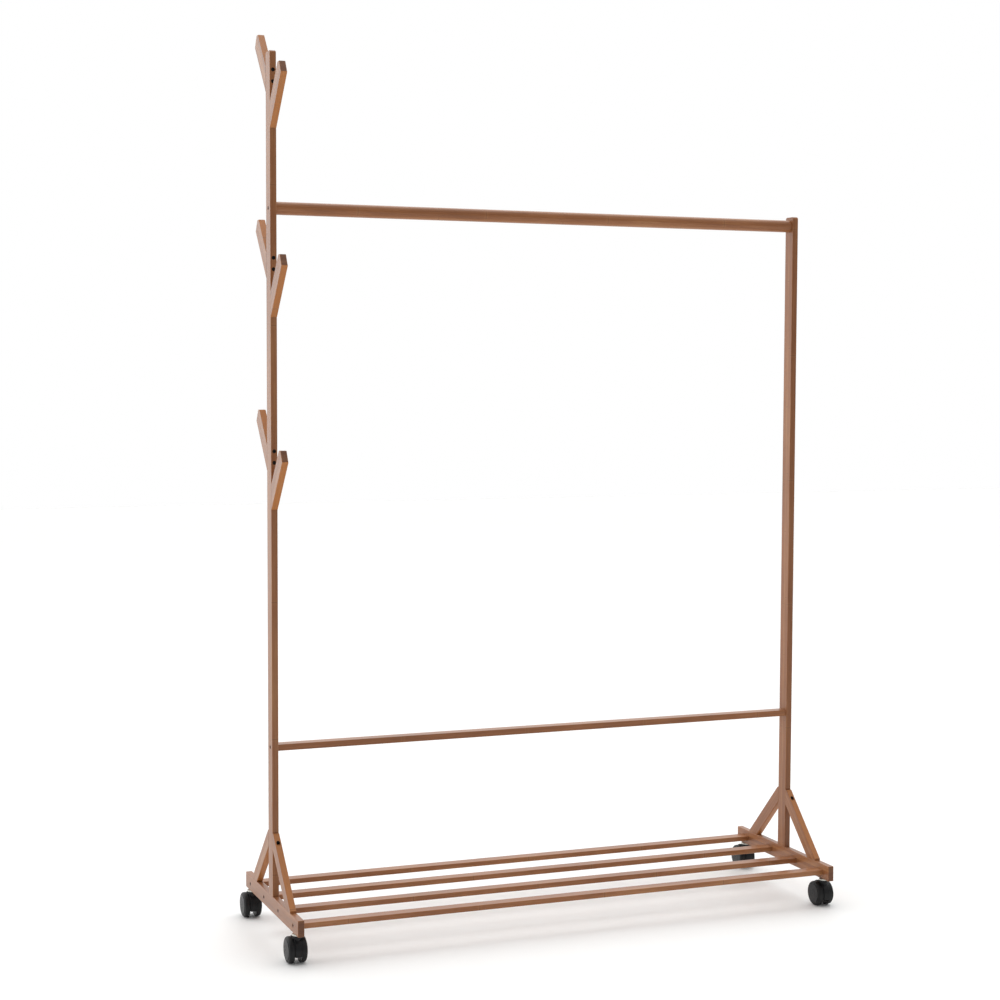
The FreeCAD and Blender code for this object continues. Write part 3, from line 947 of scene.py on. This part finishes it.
@dataclass
class Caster:
    """One twin-wheel caster: hood and stem from the frame, two lathed wheels made here."""

    name: str
    wheel_finish: bpy.types.Material
    disc_finish: bpy.types.Material
    hood_finish: bpy.types.Material
    steel: bpy.types.Material
    bore: float = 2.55 * MM
    bore_depth: float = 8.55 * MM
    shoulder_round: float = 3.5 * MM
    inner_round: float = 0.6 * MM
    disc_radius: float = 19.0 * MM
    disc_proud: float = 1.2 * MM
    groove: float = 0.8 * MM
    dome: float = 0.35 * MM
    disc_edge: float = 0.45 * MM
    gate_radius: float = 1.6 * MM
    gate_depth: float = 0.3 * MM
    line_radius: float = 8.0 * MM
    line_depth: float = 0.25 * MM
    segments: int = 96
    crease_degrees: float = 32.0

    def _arc(self, centre: tuple[float, float], radius: float, start: float, stop: float,
             steps: int) -> list[tuple[float, float]]:
        """Points on an arc, as depth from the wheel's inner face and radius from the axle."""
        return [(centre[0] + radius * math.cos(a), centre[1] + radius * math.sin(a))
                for a in (math.radians(start + (stop - start) * i / steps)
                          for i in range(steps + 1))]

    def _outline(self, radius: float, width: float) -> tuple[list[tuple[float, float]], int]:
        """The wheel's half section, from its blind bore round the tread to its outer middle.

        Args:
            radius: the tread's radius.
            width: inner face to outer face.

        Returns:
            The points, as depth and radius, and the number of the first one on the disc.
        """
        shoulder = width - self.disc_proud
        tread = [(self.bore_depth, 0.0), (self.bore_depth, self.bore), (0.0, self.bore)]
        tread += self._arc((self.inner_round, radius - self.inner_round), self.inner_round,
                           180, 90, 5)
        tread += self._arc((shoulder - self.shoulder_round, radius - self.shoulder_round),
                           self.shoulder_round, 90, 0, 10)
        floor = shoulder - self.disc_proud
        tread += [(shoulder, self.disc_radius + self.groove),
                  (floor, self.disc_radius + self.groove), (floor, self.disc_radius)]
        rim_depth = width - self.dome
        disc = self._arc((rim_depth - self.disc_edge, self.disc_radius - self.disc_edge),
                         self.disc_edge, 90, 0, 4)

        def domed(r: float) -> float:
            """Depth of the disc's gently domed face at a radius."""
            return width - self.dome * (r / self.disc_radius) ** 2

        ring = self.line_radius
        disc += [(domed(r), r) for r in (0.8 * self.disc_radius, 0.6 * self.disc_radius,
                                         ring + 2 * self.line_depth)]
        disc += [(domed(ring) - self.line_depth, ring + self.line_depth),
                 (domed(ring) - self.line_depth, ring - self.line_depth),
                 (domed(ring), ring - 2 * self.line_depth), (domed(ring / 2), ring / 2),
                 (domed(self.gate_radius), self.gate_radius),
                 (width - self.gate_depth, self.gate_radius - self.gate_depth),
                 (width - self.gate_depth, 0.0)]
        return tread + disc, len(tread)

    def _wheel(self, side: str, facing: int) -> None:
        """Lathe one wheel from its section and let it stand for its node."""
        node = f"{self.name}_wheel_{side}"
        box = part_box(node)
        radius, width = span(box).z / 2, span(box).x
        inner_x = box[1].x if facing < 0 else box[0].x
        axle = middle(box)
        outline, disc_start = self._outline(radius, width)
        solid = bmesh.new()
        points = [solid.verts.new((inner_x + facing * depth, axle.y, axle.z + r))
                  for depth, r in outline]
        for a, b in zip(points, points[1:]):
            solid.edges.new((a, b))
        bmesh.ops.spin(solid, geom=solid.verts[:] + solid.edges[:],
                       cent=(inner_x, axle.y, axle.z), axis=X_AXIS, dvec=(0, 0, 0),
                       angle=math.tau, steps=self.segments, use_duplicate=False)
        bmesh.ops.remove_doubles(solid, verts=solid.verts[:], dist=0.002 * MM)
        bmesh.ops.recalc_face_normals(solid, faces=solid.faces)
        edge_x = outline[disc_start][0]
        for face in solid.faces:
            at = face.calc_center_median()
            out = math.hypot(at.y - axle.y, at.z - axle.z)
            depth = abs(at.x - inner_x)
            face.material_index = int(out < self.disc_radius and depth > edge_x)
        mesh = bpy.data.meshes.new(node + "_detailed")
        solid.to_mesh(mesh)
        solid.free()
        mesh.materials.append(self.wheel_finish)
        mesh.materials.append(self.disc_finish)
        wheel = shaded(new_object(node + "_detailed", mesh), self.crease_degrees)
        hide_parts(node)
        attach(wheel, f"{self.name}_{side}_wheel_body")

    def build(self) -> None:
        """Make both wheels and dress the rest."""
        for side, facing in SIDES:
            self._wheel(side, facing)
        dress_node(f"{self.name}_hood", self.hood_finish)
        for part in ("insert", "stem", "axle"):
            dress_node(f"{self.name}_{part}", self.steel)
        LOG.info("%s built", self.name)


@dataclass(frozen=True)
class SoftBox:
    """A square soft light: its name, place, side length and power in watts."""

    name: str
    at: tuple[float, float, float]
    size: float
    power: float


@dataclass
class Studio:
    """Pale floor, soft white light and the camera."""

    floor_size: float = 24.0
    floor_colour: str = "#f4f4f3"
    world_colour: str = "#ffffff"
    back_strength: float = 1.15
    front_strength: float = 0.3
    overhead_strength: float = 0.45
    seen_strength: float = 1.0
    room_front: tuple[float, float, float] = (-0.25, -0.96, 0.1)
    camera_at: tuple[float, float, float] = (-1.4787, -3.5019, 1.0585)
    turn_right: float = math.radians(21.603)
    look_down: float = math.radians(3.677)
    roll: float = math.radians(0.215)
    lens_mm: float = 70.34
    soft_boxes: tuple[SoftBox, ...] = (SoftBox("back_left", (-3.2, 4.6, 1.4), 5.0, 42),
                                       SoftBox("top", (0.4, 1.2, 4.2), 3.5, 35))

    def _camera(self) -> None:
        """Place the camera."""
        ahead = Vector((math.sin(self.turn_right) * math.cos(self.look_down),
                        math.cos(self.turn_right) * math.cos(self.look_down),
                        -math.sin(self.look_down)))
        level = Vector((math.cos(self.turn_right), -math.sin(self.turn_right), 0))
        upright = level.cross(ahead)
        right = level * math.cos(self.roll) + upright * math.sin(self.roll)
        up = upright * math.cos(self.roll) - level * math.sin(self.roll)
        turn = Matrix((right, up, -ahead)).transposed().to_4x4()
        data = bpy.data.cameras.new("camera")
        data.lens = self.lens_mm
        camera = bpy.data.objects.new("camera", data)
        camera.matrix_world = Matrix.Translation(self.camera_at) @ turn
        bpy.context.scene.collection.objects.link(camera)
        bpy.context.scene.camera = camera

    def _light(self, box: SoftBox) -> None:
        """Hang a soft box that looks at the middle of the rack."""
        data = bpy.data.lights.new(box.name, "AREA")
        data.size = box.size
        data.energy = box.power
        light = bpy.data.objects.new(box.name, data)
        light.visible_camera = False
        at = Vector(box.at)
        aim = middle(CAD_BOX) - at
        light.matrix_world = Matrix.Translation(at) @ aim.to_track_quat("-Z", "Y").to_matrix(
            ).to_4x4()
        bpy.context.scene.collection.objects.link(light)

    def _room(self) -> bpy.types.World:
        """A white cove behind and beside the rack, an unlit room in front of it.

        Returns:
            The world. The cove is seen plain white from every side.
        """
        world = bpy.data.worlds.new("studio")
        world.use_nodes = True
        tree = world.node_tree
        tree.nodes.clear()
        way = add_node(tree, "ShaderNodeTexCoord").outputs["Generated"]
        ahead = add_node(tree, "ShaderNodeVectorMath", {0: way, 1: self.room_front},
                         operation="DOT_PRODUCT").outputs["Value"]
        cove = add_node(tree, "ShaderNodeMapRange",
                        {0: ahead, 1: -0.3, 2: 0.8, 3: self.back_strength,
                         4: self.front_strength}, interpolation_type="SMOOTHSTEP")
        height = add_node(tree, "ShaderNodeSeparateXYZ", {0: way}).outputs[2]
        overhead = add_node(tree, "ShaderNodeMapRange",
                            {0: height, 1: 0.2, 2: 1.0, 3: 0.0, 4: self.overhead_strength})
        lit = add_node(tree, "ShaderNodeMath", {0: cove.outputs[0], 1: overhead.outputs[0]},
                       operation="ADD").outputs[0]
        seen = add_node(tree, "ShaderNodeLightPath").outputs["Is Camera Ray"]
        strength = add_node(tree, "ShaderNodeMix", {0: seen, 2: lit, 3: self.seen_strength},
                            data_type="FLOAT").outputs[0]
        sky = add_node(tree, "ShaderNodeBackground",
                       {"Color": linear(self.world_colour), "Strength": strength})
        add_node(tree, "ShaderNodeOutputWorld", {0: sky.outputs[0]})
        return world

    def _floor(self) -> None:
        """Lay the floor."""
        solid = bmesh.new()
        bmesh.ops.create_grid(solid, x_segments=1, y_segments=1, size=self.floor_size / 2)
        mesh = bpy.data.meshes.new("floor")
        solid.to_mesh(mesh)
        solid.free()
        material = bpy.data.materials.new("floor_paint")
        material.use_nodes = True
        tree = material.node_tree
        place = add_node(tree, "ShaderNodeTexCoord").outputs["Object"]
        cloud = add_node(tree, "ShaderNodeTexNoise", {"Vector": place, "Scale": 1.5})
        gloss = add_node(tree, "ShaderNodeMapRange",
                         {0: cloud.outputs[0], 1: 0.3, 2: 0.7, 3: 0.55, 4: 0.65})
        surface = tree.nodes["Principled BSDF"]
        surface.inputs["Base Color"].default_value = linear(self.floor_colour)
        tree.links.new(gloss.outputs[0], surface.inputs["Roughness"])
        mesh.materials.append(material)
        new_object("floor", mesh)

    def build(self) -> None:
        """Set up the studio."""
        scene = bpy.context.scene
        scene.view_settings.view_transform = "Standard"
        scene.world = self._room()
        self._floor()
        for box in self.soft_boxes:
            self._light(box)
        self._camera()
        LOG.info("studio ready")


def main() -> None:
    """Build the rack's looks in order."""
    lacquer = LacqueredBamboo(BambooFigure().group())
    FlatBars(lacquer).build()
    CrossPieces(lacquer).build()
    SocketScrews(PlatedSteel("#050505", "#0d0c0c", metallic=0.5, roughness=0.5)).build()
    tread = MouldedNylon().material("nylon_tread")
    disc = MouldedNylon(base="#1c1c1e", roughness=0.38, scuff_share=0.1).material("nylon_disc")
    hood = MouldedNylon(base="#111113", roughness=0.4, scuff_share=0.12).material("nylon_hood")
    zinc = PlatedSteel("#d4d3cd", "#b4b2a8", metallic=1.0, roughness=0.3).material("bright_zinc")
    for side, _ in SIDES:
        for end, _ in ENDS:
            Caster(f"caster_{side}_{end}", tread, disc, hood, zinc).build()
    Studio().build()


if __name__ == "__main__":
    logging.basicConfig(level=logging.INFO, format="%(name)s: %(message)s")
    main()
